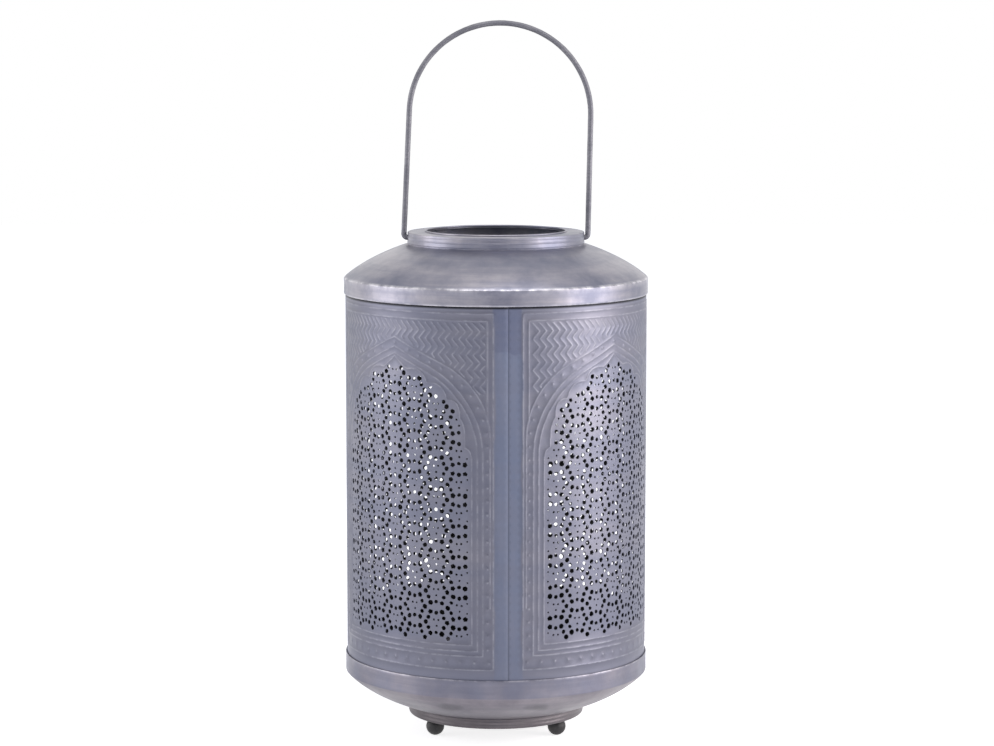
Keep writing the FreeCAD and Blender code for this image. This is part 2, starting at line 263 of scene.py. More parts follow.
metalFields = ("base", "cloud", "streak", "rubbed", "dirt", "rough", "metal", "cloudScale",
               "streakScale", "bump", "edge")
metals = {
    "panelMetal": ((0.195, 0.2, 0.258), (0.245, 0.24, 0.285), (0.165, 0.178, 0.245),
        (0.44, 0.44, 0.49), (0.1, 0.1, 0.13), 0.46, 0.72, 10, 3, 0.12, 0.0),
    "shoulderMetal": ((0.165, 0.17, 0.222), (0.43, 0.405, 0.44), (0.17, 0.18, 0.245),
        (0.8, 0.78, 0.82), (0.12, 0.12, 0.14), 0.36, 0.85, 13, 5, 0.22, 0.5),
    "dishMetal": ((0.165, 0.15, 0.178), (0.285, 0.26, 0.285), (0.14, 0.135, 0.165),
        (0.62, 0.6, 0.64), (0.09, 0.08, 0.09), 0.43, 0.82, 14, 6, 0.22, 0.5),
    # the foot ring's metal is the dish metal made darker: painted shade under the dish
    "shadedPanMetal": ((0.12, 0.108, 0.116), (0.175, 0.158, 0.168), (0.1, 0.09, 0.1), (0.42, 0.4, 0.42),
        (0.05, 0.045, 0.05), 0.46, 0.8, 18, 8, 0.25, 0.4),
    "bailMetal": ((0.185, 0.185, 0.212), (0.25, 0.246, 0.27), (0.15, 0.15, 0.175),
        (0.36, 0.355, 0.38), (0.1, 0.1, 0.11), 0.56, 0.62, 40, 20, 0.25, 0.35),
    "ballMetal": ((0.046, 0.045, 0.048), (0.072, 0.07, 0.072), (0.038, 0.037, 0.038),
        (0.16, 0.16, 0.165), (0.015, 0.015, 0.015), 0.5, 0.6, 60, 30, 0.3, 0.3),
    # the panels' inner face is the panel metal made darker: painted shade inside the body
    "shadedInnerMetal": ((0.05, 0.051, 0.056), (0.075, 0.075, 0.08), (0.04, 0.041, 0.045),
        (0.09, 0.09, 0.09), (0.02, 0.02, 0.02), 0.62, 0.5, 10, 4, 0.15, 0.0),
    "blackPlastic": ((0.02, 0.02, 0.021), (0.03, 0.03, 0.031), (0.017, 0.017, 0.017),
        (0.07, 0.07, 0.07), (0.01, 0.01, 0.01), 0.42, 0.0, 50, 20, 0.05, 0.6),
    "glazedInsert": ((0.72, 0.71, 0.67), (0.78, 0.77, 0.73), (0.66, 0.65, 0.61), (0.8, 0.8, 0.78),
        (0.4, 0.38, 0.34), 0.25, 0.0, 60, 20, 0.05, 0.3),
    "zincSteel": ((0.52, 0.52, 0.5), (0.6, 0.6, 0.57), (0.44, 0.44, 0.43), (0.72, 0.72, 0.7),
        (0.2, 0.19, 0.17), 0.35, 1.0, 80, 30, 0.1, 0.6),
    "contactBrass": ((0.6, 0.43, 0.17), (0.68, 0.51, 0.22), (0.48, 0.33, 0.12), (0.8, 0.64, 0.32),
        (0.2, 0.13, 0.05), 0.3, 1.0, 80, 30, 0.08, 0.6),
    "capMetal": ((0.62, 0.61, 0.58), (0.7, 0.69, 0.66), (0.52, 0.51, 0.49), (0.8, 0.79, 0.76),
        (0.25, 0.24, 0.22), 0.34, 1.0, 80, 30, 0.08, 0.6),
}
metals = {name: dict(zip(metalFields, row)) for name, row in metals.items()}
# the dark grime colour also paints the shadow under the rim, and the dirt amount also sets the
# painted shade
sheen = {"streakAmount": 0.6, "dirtAmount": 0.7, "grimeAndShadow": (0.012, 0.012, 0.016), "roughSpread": 0.06,
         "bumpReach": 0.004}


def makeMetal(name):
    look = metals[name]
    made = bpy.data.materials.new(name)
    made.use_nodes = True
    tree = made.node_tree
    shader = tree.nodes["Principled BSDF"].inputs
    aged = addNode(tree, "Group", patinaGroup, Cloud_Scale=look["cloudScale"],
                   Streak_Scale=look["streakScale"]).outputs
    wornAndLit = addNode(tree, "Group", wearAndPaintedLightGroup, Edge_Amount=look["edge"]).outputs
    tone = mixColor(tree, aged["Cloud"], look["base"], look["cloud"])
    tone = mixColor(tree, product(tree, aged["Streak"], sheen["streakAmount"]), tone, look["streak"])
    if name == "panelMetal":
        tone = paintStrip(tree, tone, aged["Streak"])
    if name == "dishMetal":
        tone = tarnishDishAndPaintReflections(tree, tone)
    # dirt and painted shade darken, rubbed wear and painted highlights lighten, joint grime and a
    # painted shadow under the rim darken
    tone = mixColor(tree, product(tree, wornAndLit["Dirt"], sheen["dirtAmount"]), tone, look["dirt"])
    tone = mixColor(tree, wornAndLit["Edge"], tone, look["rubbed"])
    tone = mixColor(tree, wornAndLit["Grime And Shadow"], tone, sheen["grimeAndShadow"])
    tree.links.new(tone, shader["Base Color"])
    shader["Metallic"].default_value = look["metal"]
    rough = rangeNode(tree, aged["Cloud"], 0, 1, look["rough"] + sheen["roughSpread"],
                      look["rough"] - sheen["roughSpread"])
    tree.links.new(rough, shader["Roughness"])
    bump = addNode(tree, "Bump", Strength=look["bump"], Distance=sheen["bumpReach"],
                   Height=aged["Height"])
    tree.links.new(bump.outputs[0], shader["Normal"])
    return made


strip = {"middleDeg": 4.5, "halfDeg": 5.2, "softDeg": 0.35, "color": (0.150, 0.185, 0.282),
         "amount": 0.8, "thin": 0.6, "darkColor": (0.115, 0.135, 0.225), "darkFoot": 0.396,
         "darkSoft": 0.003, "darkAmount": 0.8, "paleColor": (0.215, 0.235, 0.32), "paleAmount": 0.75,
         "ragged": (25, 3), "raggedBy": (0.3, 0.7, -0.012, 0.012), "smear": (60, 60, 9),
         "brush": (1.0, 5, 0.6), "brushSpread": (0.42, 0.66), "footDarkColor": (0.115, 0.118, 0.158),
         "footDarkHeights": (0.40, 0.10), "footDarkAmount": 0.42}


# the bluish band of solder and paint along each seam, a quarter turn apart
def paintStrip(tree, tone, streak):
    where = objectPlace(tree)
    x, y, z = addNode(tree, "SeparateXYZ", Vector=where).outputs
    turn = mathNode(tree, "ARCTAN2", x, product(tree, y, -1.0))
    quarter = mathNode(tree, "ADD", turn, math.radians(-strip["middleDeg"] + 45 + 360))
    quarter = mathNode(tree, "MODULO", quarter, math.radians(90))
    away = mathNode(tree, "ABSOLUTE", mathNode(tree, "SUBTRACT", quarter, math.radians(45)))
    ragged = rangeNode(tree, noiseNode(tree, where, *strip["ragged"]), *strip["raggedBy"])
    inside = rangeNode(tree, mathNode(tree, "ADD", away, ragged),
                       math.radians(strip["halfDeg"] + strip["softDeg"]),
                       math.radians(strip["halfDeg"] - strip["softDeg"]))
    patchy = rangeNode(tree, streak, 0, 1, strip["amount"], strip["amount"] * strip["thin"])
    smear = addNode(tree, "Mapping", Vector=where, Scale=strip["smear"]).outputs[0]
    brushed = rangeNode(tree, noiseNode(tree, smear, *strip["brush"]), *strip["brushSpread"])
    paint = mixColor(tree, product(tree, brushed, strip["paleAmount"]), strip["color"],
                     strip["paleColor"])
    top = rangeNode(tree, mathNode(tree, "ADD", z, ragged), strip["darkFoot"],
                    strip["darkFoot"] + strip["darkSoft"])
    paint = mixColor(tree, product(tree, top, strip["darkAmount"]), paint, strip["darkColor"])
    tone = mixColor(tree, product(tree, inside, patchy), tone, paint)
    # the body is darker towards its foot
    footDark = product(tree, rangeNode(tree, z, *strip["footDarkHeights"]), strip["footDarkAmount"])
    return mixColor(tree, footDark, tone, strip["footDarkColor"])


dishTarnishAndReflections = {"bandFoot": 0.0622, "bandSoft": 0.0006, "bandColor": (0.135, 0.150, 0.215),
           "bandAmount": 0.6, "bandPatches": (-0.4, 0.3, 0.45, 1.0), "ragged": (45, 4),
           "raggedBy": (0.3, 0.7, -0.4, 0.4), "feetReflections": [(-0.045, 0.0495), (0.040, 0.0490)],
           "feetReflectionReach": (0.0125, 0.0052), "feetReflectionColor": (0.050, 0.048, 0.062),
           "feetReflectionAmount": 0.55, "feetReflectionSpread": (1.3, 0.1), "front": (0, -0.02)}


# the bluish rim of the dish, and two dark patches on its front that are painted reflections of the
# ball feet
def tarnishDishAndPaintReflections(tree, tone):
    where = objectPlace(tree)
    x, y, z = addNode(tree, "SeparateXYZ", Vector=where).outputs
    ragged = rangeNode(tree, noiseNode(tree, where, *dishTarnishAndReflections["ragged"]), *dishTarnishAndReflections["raggedBy"])
    foot, soft = dishTarnishAndReflections["bandFoot"], dishTarnishAndReflections["bandSoft"]
    band = product(tree, rangeNode(tree, z, foot - soft, foot + soft), dishTarnishAndReflections["bandAmount"])
    band = product(tree, band, rangeNode(tree, ragged, *dishTarnishAndReflections["bandPatches"]))
    tone = mixColor(tree, band, tone, dishTarnishAndReflections["bandColor"])
    # two dark patches on the front: painted reflections of the ball feet
    front = product(tree, rangeNode(tree, y, *dishTarnishAndReflections["front"]), dishTarnishAndReflections["feetReflectionAmount"])
    for middle in dishTarnishAndReflections["feetReflections"]:
        far = ragged
        for value, centre, reach in zip((x, z), middle, dishTarnishAndReflections["feetReflectionReach"]):
            share = mathNode(tree, "DIVIDE", mathNode(tree, "SUBTRACT", value, centre), reach)
            far = mathNode(tree, "ADD", far, product(tree, share, share))
        inside = rangeNode(tree, far, *dishTarnishAndReflections["feetReflectionSpread"])
        tone = mixColor(tree, product(tree, inside, front), tone, dishTarnishAndReflections["feetReflectionColor"])
    return tone


material = {name: makeMetal(name) for name in metals}
print("metals are mixed")


# a mesh piece from points in millimetres, riding on its CAD body; relief is rubbed wear with painted
# highlights, dirt with painted shade, and joint grime with a painted shadow under the rim
def addPiece(name, body, points, faces, materials, faceMaterial=None, sharp=40, slot=None,
             replaces=(), relief=None):
    data = bpy.data.meshes.new(name)
    data.from_pydata([tuple(mm * v for v in p) for p in points], [], faces)
    data.validate()
    for look in materials:
        data.materials.append(look)
    if faceMaterial is not None:
        data.polygons.foreach_set("material_index", faceMaterial)
    data.polygons.foreach_set("use_smooth", [True] * len(data.polygons))
    data.set_sharp_from_angle(angle=math.radians(sharp))
    if relief is not None:
        mark = data.attributes.new("relief", "FLOAT_VECTOR", "POINT")
        mark.data.foreach_set("vector", np.asarray(relief, np.float32).ravel())
    data.update()
    piece = addObject(name, data)
    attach(piece, body)
    if replaces:
        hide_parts(*replaces)
    return piece


def curve(start, pull, end, steps):
    return [tuple((1 - t) ** 2 * a + 2 * t * (1 - t) * b + t * t * c
                  for a, b, c in zip(start, pull, end))
            for t in (k / steps for k in range(steps + 1))]


def turns(count):
    return [2 * math.pi * k / count for k in range(count)]


def around(radius, count):
    return [(radius * math.cos(a), radius * math.sin(a)) for a in turns(count)]


# quads between rings of vertices that follow one another from the first
def tubeFaces(first, rings, sides):
    faces = []
    for low in (first + i * sides for i in range(rings - 1)):
        faces += [(low + k, low + (k + 1) % sides, low + sides + (k + 1) % sides, low + sides + k)
                  for k in range(sides)]
    return faces


def endFaces(rings, sides):
    return [tuple(range(sides))[::-1], tuple(range((rings - 1) * sides, rings * sides))]


# the line with its inner corners turned to arcs
def rounded(points, radius, steps):
    result = [points[0]]
    for before, corner, after in zip(points, points[1:], points[2:]):
        here = Vector(corner)
        back, ahead = Vector(before) - here, Vector(after) - here
        reach = min(radius / math.tan(back.angle(ahead) / 2), 0.48 * back.length,
                    0.48 * ahead.length)
        a, b = here + back.normalized() * reach, here + ahead.normalized() * reach
        result += [tuple(Vector(p)) for p in curve(a, here, b, steps)]
    return result + [points[-1]]


# closed outline of a sheet whose one side is the line; the other lies to its left
def thickened(line, thickness):
    other = []
    for i, (r, z) in enumerate(line):
        ar, az = line[max(i - 1, 0)]
        br, bz = line[min(i + 1, len(line) - 1)]
        length = math.hypot(br - ar, bz - az) or 1
        other.append((max(r - (bz - az) / length * thickness, 0),
                      z + (br - ar) / length * thickness))
    return line + other[::-1]


# vertices and faces of an outline of (radius, height) turned round the axis
def spin(outline, segments, closed=True, sway=None):
    points, rows = [], []
    for r, z in outline:
        if r < 1e-6:
            rows.append([len(points)])
            points.append((0, 0, z))
            continue
        rows.append(list(range(len(points), len(points) + segments)))
        for angle in turns(segments):
            rr, zz = (r, z) if sway is None else sway(r, z, angle)
            points.append((rr * math.cos(angle), rr * math.sin(angle), zz))
    faces = []
    pairs = list(zip(rows, rows[1:])) + ([(rows[-1], rows[0])] if closed else [])
    for low, high in pairs:
        if len(low) == len(high) == 1:
            continue
        # a row on the axis is one point, and its faces are triangles
        for k in range(segments):
            n = (k + 1) % segments
            corners = [low[k % len(low)], low[n % len(low)], high[n % len(high)], high[k % len(high)]]
            faces.append(tuple(dict.fromkeys(corners)))
    return points, faces


# the list of (height, half width, amount) of the bright rings on the outer side: rubbed wear with
# painted highlights on creases and beads
def spunPiece(name, outline, look, segments=192, closed=True, sway=None, wornAndLit=(), **rest):
    points, faces = spin(outline, segments, closed, sway)
    relief = np.zeros((len(points), 3))
    heights = np.array([p[2] for p in points])
    for z, half, amount in wornAndLit:
        relief[:, 0] = np.maximum(relief[:, 0], amount * np.exp(-((heights - z) / half) ** 2))
    return addPiece(name, "lantern", points, faces, [look], relief=relief, **rest)


# bores a cylinder, whose half length is the reach, out of a piece
def cutHole(piece, centre, direction, radius, reach):
    sides = 32
    data = bpy.data.meshes.new("borer")
    data.from_pydata([(mm * x, mm * y, mm * z) for z in (-reach, reach)
                      for x, y in around(radius, sides)], [],
                     endFaces(2, sides) + tubeFaces(0, 2, sides))
    borer = addObject("borer", data)
    borer.rotation_euler = Vector(direction).to_track_quat("Z", "Y").to_euler()
    borer.location = [mm * v for v in centre]
    change = piece.modifiers.new("bore", "BOOLEAN")
    change.operation, change.solver, change.object = "DIFFERENCE", "EXACT", borer
    bpy.context.view_layer.update()
    seen = piece.evaluated_get(bpy.context.evaluated_depsgraph_get())
    made = bpy.data.meshes.new_from_object(seen)
    piece.modifiers.clear()
    piece.data = made
    bpy.data.objects.remove(borer)
    piece.data.name = piece.name


# body panels
panel = {
    "radius": 148.5, "sheet": 1.0, "halfAngle": 44.92, "lap": 9.0, "joggle": 1.6,
    "joggleDepth": 1.15, "places": [("front_left", -40.5), ("front_right", 49.5),
                                    ("rear_right", 139.5), ("rear_left", 229.5)],
    "gridStep": 4.2, "lineWidth": 1.2, "lineHeight": 0.36, "rimFoot": 438.2, "dirtReach": 2.4,
    # the crests get rubbed wear and a painted highlight, the sheet beside the lines dirt and painted
    # shade, the top a painted shadow under the rim, and the seams dark joint grime
    "cell": 2.0, "crestWearAndHighlight": 0.38, "besideDirtAndShade": 0.42, "paintedRimShadow": 0.96, "lapGrime": 0.6,
    "seamGrime": 0.35, "sharp": 55, "firstSeed": 11,
}
frameLines = {"outer": (102.5, 90.3, 431.6), "inner": (97.0, 424.9)}
arches = {  # half width, point height, haunch radius, slope to the point, bottom height
    "outer": (99.5, 406.5, 77, 23.5, None), "first": (92.6, 397.5, 92, 23.5, 103.6),
    "second": (87.4, 391.0, 87, 23.5, 108.4),
}
scallops = {"foot": 114.1, "halfWidth": 82.0, "width": 0.9, "lobes": [
    ((0, 388.3), (8.5, 380.6), (14.8, 376.9)), ((14.8, 376.9), (33.0, 380.2), (37.1, 364.9)),
    ((37.1, 364.9), (54.5, 367.0), (58.0, 349.3)), ((58.0, 349.3), (71.5, 350.8), (70.6, 331.9)),
    ((70.6, 331.9), (76.4, 327.0), (75.8, 304.0)), ((75.8, 304.0), (82.0, 302.0), (82.0, 292.0))]}
zigzags = {"first": -93.3, "pitch": 6.8, "swing": 6.6, "top": 422.3, "half": 7.45, "width": 1.15,
           "height": 0.30, "corners": 14, "clear": 2.6, "clearTop": 2.4}
beads = {"side": 97.6, "foot": 97.0, "pitchSide": 13.0, "pitchFoot": 14.06, "radius": 1.75,
         # around each dot lies dirt and painted shade
         "height": 0.55, "dirtFrom": 1.7, "dirtReach": 2, "rings": ((1, 9), (0.5, 7)),
         "arch": (97.0, 402.2, 84, 23.5)}
rosettes = {  # holes list the middle and radius in each rosette, crown the field's upper bound
    "pitchS": 23.2, "pitchZ": 29.75, "evenZ": 268.2, "oddZ": 283.4, "foot": 119.2, "side": 78.2,
    "grow": 1.24, "sideShare": 0.45, "jitter": 0.22, "sizes": (0.9, 1.06), "squash": (0.86, 1.0),
    "corner": 0.12,
    "holes": [(-6.0, 4.2, 2.25), (6.0, 4.2, 2.25), (-6.0, -4.2, 2.25), (6.0, -4.2, 2.25),
              (0, 5.4, 1.75), (0, -5.4, 1.8), (-12, 0, 2.15), (12, 0, 2.15), (-8, 10, 1.85),
              (8, 10, 1.85), (-8, -10, 1.85), (8, -10, 1.85), (0.3, 11.8, 1.0), (-2.4, 17.6, 1.0),
              (2.3, 17.5, 1.0)],
    "crown": [(0, 378.8), (10, 378.3), (14, 374.4), (20, 371.2), (32.5, 370.9), (43.5, 363.4),
              (49, 354.8), (56, 350.0), (60, 345.6), (66, 341), (72, 322), (76, 306), (80, 300)],
}


# right half of a keel arch from its point down to the foot
def archLine(halfWidth, point, radius, slope, foot, steps=16):
    turn = math.radians(90 - slope)
    centreS = halfWidth - radius
    turnS = centreS + radius * math.cos(turn)
    springZ = point - turnS * math.tan(math.radians(slope)) - radius * math.sin(turn)
    line = [(0, point)] + [(centreS + radius * math.cos(a), springZ + radius * math.sin(a)) for a in
                           (turn * (1 - k / steps) for k in range(steps + 1))]
    return line + ([(halfWidth, foot)] if foot is not None else [])


# both halves of a line given from its middle to the right
def mirrored(half):
    return [(-s, z) for s, z in half[::-1]] + half[1:]


# the line with more points, none further apart than step
def divided(line, step):
    result = [line[0]]
    for (a, b), (c, d) in zip(line, line[1:]):
        count = max(1, math.ceil(math.hypot(c - a, d - b) / step))
        result += [(a + (c - a) * k / count, b + (d - b) * k / count) for k in range(1, count + 1)]
    return result


# the line moved to its left, with mitred corners
def sideways(line, distance, closed):
    count, result = len(line), []
    for i, (s, z) in enumerate(line):
        normals = []
        for a, b in ((i - 1, i), (i, i + 1)):
            if not closed and (a < 0 or b >= count):
                continue
            (sa, za), (sb, zb) = line[a % count], line[b % count]
            length = math.hypot(sb - sa, zb - za) or 1
            normals.append(((za - zb) / length, (sb - sa) / length))
        ns, nz = (sum(n[k] for n in normals) / len(normals) for k in (0, 1))
        stretch = distance / max(ns * ns + nz * nz, 0.35)
        result.append((s + ns * stretch, z + nz * stretch))
    return result


# height of a line of (s, z) points, out from the middle, at a distance s
def crownHeight(line, s):
    for (a, b), (c, d) in zip(line, line[1:]):
        if a <= s <= c:
            return b + (d - b) * (s - a) / (c - a) if c > a else max(b, d)
    return -1e9


# every raised line of a panel: points, closed, half width, height
def ridgeLines():
    width, height = panel["lineWidth"], panel["lineHeight"]
    lines = []
    side, foot, top = frameLines["outer"]
    lines.append(([(-side, foot), (side, foot), (side, top), (-side, top)], True, width, height))
    side, top = frameLines["inner"]
    outer = archLine(*arches["outer"])
    meet = next(z for s, z in outer if s > side)
    lines.append(([(-side, meet), (-side, top), (side, top), (side, meet)], False, width, height))
    lines.append((mirrored(outer + [(arches["outer"][0], 150)]), False, width, height))
    for name in ("first", "second"):
        lines.append((mirrored(archLine(*arches[name])), True, width, height))
    half = [scallops["lobes"][0][0]]
    for lobe in scallops["lobes"]:
        half += curve(*lobe, 6)[1:]
    half.append((scallops["halfWidth"], scallops["foot"]))
    lines.append((mirrored(half), True, width * scallops["width"], height))
    zig = zigzags
    side, top = side - zig["clear"], top - zig["clearTop"]
    count = int(2 * -zig["first"] / zig["pitch"]) + 1
    for k in range(-1, count + 1):
        first = zig["first"] + k * zig["pitch"]
        corners = [(first + zig["swing"] * (j % 2), zig["top"] - j * zig["half"])
                   for j in range(zig["corners"])]
        runs = [[]]
        for s, z in divided(corners, zig["half"] / 3.4):
            if abs(s) < side and crownHeight(outer, abs(s)) + zig["clear"] < z < top:
                runs[-1].append((s, z))
            else:
                runs.append([])
        lines += [(run, False, zig["width"], zig["height"]) for run in runs if len(run) > 3]
    return lines


# middle of each raised dot in the band between the outer frame and the first inner line
def beadPlaces():
    b = beads
    reach = round(b["side"] / b["pitchFoot"])
    places = [(k * b["pitchFoot"], b["foot"]) for k in range(-reach, reach + 1)]
    half = archLine(*b["arch"], b["foot"])[::-1]
    far, walked = b["pitchSide"], 0.0
    for (a, z), (c, w) in zip(half, half[1:]):
        length = math.hypot(c - a, w - z)
        while far <= walked + length:
            t = (far - walked) / length
            s, up = a + (c - a) * t, z + (w - z) * t
            if abs(s) > 5:
                places += [(s, up), (-s, up)]
            far += b["pitchSide"]
        walked += length
    return places + [(0, b["arch"][1] - 1.5)]


# middle and radius of each opening of the pierced field
def holePlaces():
    r, places = rosettes, []
    for column in range(-4, 5):
        for row in range(-7, 6):
            s0 = column * r["pitchS"]
            z0 = (r["oddZ"] if column % 2 else r["evenZ"]) + row * r["pitchZ"]
            for ds, dz, size in r["holes"]:
                s, z = s0 + ds, z0 + dz
                if r["foot"] <= z <= crownHeight(r["crown"], abs(s)) and abs(s) <= r["side"]:
                    share = r["sideShare"] if abs(s) > r["side"] - 1.4 else 1.0
                    places.append((s, z, size * r["grow"] * share))
    return places


# height of the relief at each spot, how far it is up a ridge, and how near one it is
def raised(spots, ridges, dots):
    height, crest, near = (np.zeros(len(spots)) for _ in range(3))
    pieces = []
    for line, closed, width, top in ridges:
        ends = line[1:] + line[:1] if closed else line[1:]
        pieces += [(*a, *b, width, top) for a, b in zip(line, ends)]
    pieces, dots = np.array(pieces), np.array(dots)
    starts, widths, tops = pieces[:, :2], pieces[:, 4], pieces[:, 5]
    along = pieces[:, 2:4] - starts
    square = np.maximum((along ** 2).sum(1), 1e-9)
    chunk = 1500
    for first in range(0, len(spots), chunk):
        part = slice(first, first + chunk)
        gap = spots[part][:, None] - starts
        t = np.clip((gap * along).sum(2) / square, 0, 1)
        distance = np.sqrt(((gap - t[..., None] * along) ** 2).sum(2))
        share = 0.5 + 0.5 * np.cos(math.pi * np.clip(distance / widths, 0, 1))
        beside = np.clip(1 - (distance - widths) / panel["dirtReach"], 0, 1).max(1)
        apart = np.sqrt(((spots[part][:, None] - dots) ** 2).sum(2)).min(1)
        dome = 0.5 + 0.5 * np.cos(math.pi * np.clip(apart / beads["radius"], 0, 1))
        height[part] = np.maximum((share * tops).max(1), dome * beads["height"])
        crest[part] = np.maximum(share.max(1), dome)
        about = np.clip(1 - (apart - beads["dirtFrom"]) / beads["dirtReach"], 0, 1)
        near[part] = np.maximum(beside, about)
    return height, crest, near


# flat triangulation of a panel with its relief
def panelMesh(seed):
    pick = random.Random(seed)
    foot, head = (corner.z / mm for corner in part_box("body_panel_front_left"))
    left = -math.radians(panel["halfAngle"]) * panel["radius"]
    right = math.radians(45) * panel["radius"] + panel["lap"]
    spots, edges, owner = [], [], []

    def chain(line, closed, tag=-1):
        first = len(spots)
        spots.extend(line)
        owner.extend([tag] * len(line))
        edges.extend((first + k, first + k + 1) for k in range(len(line) - 1))
        if closed:
            edges.append((first + len(line) - 1, first))

    ridges = ridgeLines()
    for line, closed, width, top in ridges:
        loop = line + line[:1] if closed else line
        fine = divided(loop, panel["gridStep"])
        if closed:
            fine = fine[:-1]
        for share in (-1, -0.5, 0, 0.5, 1):
            chain(sideways(fine, share * width, closed), closed)
    dots = beadPlaces()
    for s, z in dots:
        for share, count in beads["rings"]:
            chain([(s + x, z + y) for x, y in around(share * beads["radius"], count)], True)
        chain([(s, z)], False)
    jitter, corner = rosettes["jitter"], rosettes["corner"]
    for tag, (s, z, size) in enumerate(holePlaces()):
        s, z = s + pick.uniform(-jitter, jitter), z + pick.uniform(-jitter, jitter)
        size *= pick.uniform(*rosettes["sizes"])
        count = pick.choice((5, 6, 7)) if size > 1.6 else 5
        turn, squash = pick.uniform(0, math.pi), pick.uniform(*rosettes["squash"])
        ring = []
        for k in range(count):
            a = 2 * math.pi * (k + pick.uniform(-corner, corner)) / count
            x, y = size * math.cos(a), size * squash * math.sin(a)
            ring.append((s + x * math.cos(turn) - y * math.sin(turn),
                         z + x * math.sin(turn) + y * math.cos(turn)))
        chain(ring, True, tag)
    cell = panel["cell"]
    cells = {(int(s // cell), int(z // cell)) for s, z in spots}
    joggle = math.radians(45) * panel["radius"]
    columns = list(np.linspace(left, joggle - 0.2, math.ceil((joggle - left) / panel["gridStep"])))
    columns[1:1] = [left + 0.5, left + 1.4]
    columns += [joggle + panel["joggle"] * 0.5, joggle + panel["joggle"], joggle + 5, right]
    rows = [z for z in np.linspace(foot, head, math.ceil((head - foot) / panel["gridStep"]))
            if z <= panel["rimFoot"] - 4 or z > head - 0.01]
    rows += [panel["rimFoot"] - drop for drop in (3.2, 2.4, 1.6, 0.8, -1.5)]
    for i, s in enumerate(columns):
        for j, z in enumerate(rows):
            border = i == 0 or s > joggle - 0.3 or j == 0 or z > panel["rimFoot"] - 5
            shift = 0 if border else panel["gridStep"] * (0.25 if j % 2 else -0.25)
            across, up = int((s + shift) // cell), int(z // cell)
            crowded = any((across + a, up + b) in cells for a in (-1, 0, 1) for b in (-1, 0, 1))
            if border or not crowded:
                spots.append((s + shift, z))
                owner.append(-1)
    made, _, triangles, fromSpot = delaunay_2d_cdt([Vector(p) for p in spots], edges, [], 0,
                                                   1e-4, True)[:4]
    owners = [max((owner[k] for k in ids), default=-1) for ids in fromSpot]
    flat = np.array(made)
    # a triangle whose corners are all of one hole is left out
    kept = [(a, b, c) for a, b, c in triangles if not 0 <= owners[a] == owners[b] == owners[c]]
    height, crest, near = raised(flat, ridges, dots)
    step = np.clip((flat[:, 0] - joggle + 0.1) / panel["joggle"], 0, 1)
    height -= panel["joggleDepth"] * step * step * (3 - 2 * step)
    # a painted shadow: a dark band at the panel's top, under the shoulder's rim
    under = np.clip((flat[:, 1] - panel["rimFoot"] + 2.9) / 1.2, 0, 1)
    seam = np.clip(1 - (flat[:, 0] - left) / 1.3, 0, 1)
    joint = np.maximum(panel["lapGrime"] * (step > 0.3), panel["seamGrime"] * seam)
    grimeAndShadow = np.maximum(panel["paintedRimShadow"] * under, joint)
    # crests: rubbed wear and painted highlight; beside the lines: dirt and painted shade; grime:
    # joint grime and the painted rim shadow
    relief = np.column_stack((panel["crestWearAndHighlight"] * crest, panel["besideDirtAndShade"] * near, grimeAndShadow))
    return flat, kept, height, relief


def makePanel(name, middle, seed):
    flat, triangles, height, relief = panelMesh(seed)
    angle = np.radians(middle - 90) + flat[:, 0] / panel["radius"]
    points = []
    for drop in (0, panel["sheet"]):
        radius = panel["radius"] + height - drop
        points.append(np.column_stack((radius * np.cos(angle), radius * np.sin(angle), flat[:, 1])))
    single = {}  # edges with a triangle on one side only
    for a, b, c in triangles:
        for edge in ((a, b), (b, c), (c, a)):
            if single.pop(edge[::-1], None) is None:
                single[edge] = True
    count, sheets = len(flat), len(triangles)
    faces = triangles + [(c + count, b + count, a + count) for a, b, c in triangles]
    faces += [(b, a, a + count, b + count) for a, b in single]
    kinds = [0] * sheets + [1] * sheets + [0] * len(single)
    return addPiece("panel_" + name, "lantern", np.concatenate(points).tolist(), faces,
                    [material["panelMetal"], material["shadedInnerMetal"]], kinds, sharp=panel["sharp"],
                    slot="panel_metal", replaces=["body_panel_" + name],
                    relief=np.concatenate((relief, np.zeros_like(relief))))


for seed, (name, middle) in enumerate(panel["places"], panel["firstSeed"]):
    made = makePanel(name, middle, seed)
    print("panel", name, len(made.data.vertices), "points")


# slight unevenness of hand-spun sheet
def handSway(amount, turns):
    def sway(r, z, angle):
        wave = math.sin(turns * angle + z * 0.05)
        wave += 0.6 * math.sin((turns + 3) * angle - z * 0.09 + 1.3)
        return r - amount * (1 + wave) * min(r / 150, 1), z
    return sway


shoulder = {
    "neck": (87.2, 486.8), "pull": (128.0, 473.1), "crease": (150.1, 453.7), "foot": 438.2,
    # the bright crease ring is rubbed wear and a painted highlight
    "sheet": 1.2, "creaseR": 1.1, "sway": (0.05, 5), "wornAndLit": [(453.7, 0.75, 0.85)],
    "lip": [(-0.25, 0), (0, 0.5), (-0.1, 2.2), (-0.15, 7.8)],  # from the rim's foot
}


def makeShoulder():
    s = shoulder
    rim, crease = s["crease"]
    slope = curve(s["crease"], s["pull"], s["neck"], 40)
    line = [(rim + r, s["foot"] + z) for r, z in s["lip"]]
    line += rounded([(rim - 0.15, 448), (rim + 0.1, crease - 0.4), slope[2]],
                    s["creaseR"], 5)
    spunPiece("shoulder_spun", thickened(line + slope[3:], s["sheet"]), material["shoulderMetal"],
              sway=handSway(*s["sway"]), slot="shoulder_metal", replaces=["shoulder"],
              wornAndLit=s["wornAndLit"])


# outer wall with its ribs, each (height, how far it stands out, half width)
def ribbedWall(radius, foot, top, ribs, rows):
    wall = []
    for k in rows:
        z = foot + (top - foot) * k / rows[-1]
        wall.append((radius + sum(h * math.exp(-((z - at) / w) ** 2) for at, h, w in ribs), z))
    return wall


